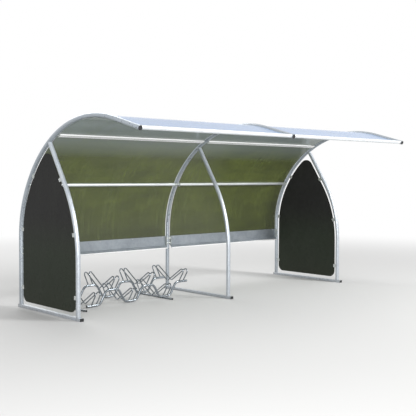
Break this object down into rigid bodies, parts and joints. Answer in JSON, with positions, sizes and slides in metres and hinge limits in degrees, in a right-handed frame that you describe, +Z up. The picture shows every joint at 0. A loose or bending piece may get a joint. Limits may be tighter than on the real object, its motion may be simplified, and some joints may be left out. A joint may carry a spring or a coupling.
{
  "type": "bicycle shelter",
  "caption": "Two-bay bicycle shelter of bent steel tube frames with curved clear sheets, dark end panels and a wave-tube rack with bent rod cradles",
  "frame": {"origin": "on the ground, in the middle of the shelter's length and depth", "axes": "+X along the shelter to the right as seen from its open front, +Y from the open front to the back wall, +Z up"},
  "size_m": [4.3482, 2.2025, 2.1022],
  "materials": {
    "galvanised_frame": "hot-dip galvanised, slightly glossy",
    "rail_steel": "galvanised, satin",
    "rail_aluminium": "extruded, natural",
    "bracket_steel": "galvanised, matt",
    "galvanised_rack": "hot-dip galvanised, bright",
    "clear_sheet": "clear twin-wall polycarbonate, faint green tint, glossy",
    "smoked_panel": "dark smoked acrylic, glossy",
    "black_caps": "black polyethylene"
  },
  "bodies": {
    "root": {"base_rail_left": "galvanised_frame", "base_rail_middle": "galvanised_frame", "base_rail_right": "galvanised_frame", "rear_hoop_left": "galvanised_frame", "rear_hoop_middle": "galvanised_frame", "rear_hoop_right": "galvanised_frame", "front_post_left": "galvanised_frame", "front_post_middle": "galvanised_frame", "front_post_right": "galvanised_frame", "frame_caps_left": "black_caps", "frame_caps_middle": "black_caps", "frame_caps_right": "black_caps", "rail_brackets_left": "bracket_steel", "rail_brackets_middle": "bracket_steel", "rail_brackets_right": "bracket_steel", "front_edge_tube_left": "galvanised_frame", "upper_rail_left": "rail_aluminium", "mid_rail_left": "galvanised_frame", "lower_rail_left": "rail_steel", "back_sheet_left": "clear_sheet", "roof_sheet_left": "clear_sheet", "end_panel_left": "smoked_panel", "panel_clamps_left": "bracket_steel", "front_edge_tube_right": "galvanised_frame", "upper_rail_right": "rail_aluminium", "mid_rail_right": "galvanised_frame", "lower_rail_right": "rail_steel", "back_sheet_right": "clear_sheet", "roof_sheet_right": "clear_sheet", "end_panel_right": "smoked_panel", "panel_clamps_right": "bracket_steel", "rack_front_wave": "galvanised_rack", "rack_rear_wave": "galvanised_rack", "rack_foot_left": "galvanised_rack", "rack_foot_right": "galvanised_rack", "rack_caps": "black_caps", "rack_cradle_1": "galvanised_rack", "rack_cradle_2": "galvanised_rack", "rack_cradle_3": "galvanised_rack", "rack_cradle_4": "galvanised_rack", "rack_cradle_5": "galvanised_rack", "rack_cradle_6": "galvanised_rack"}
  },
  "joints": []
}
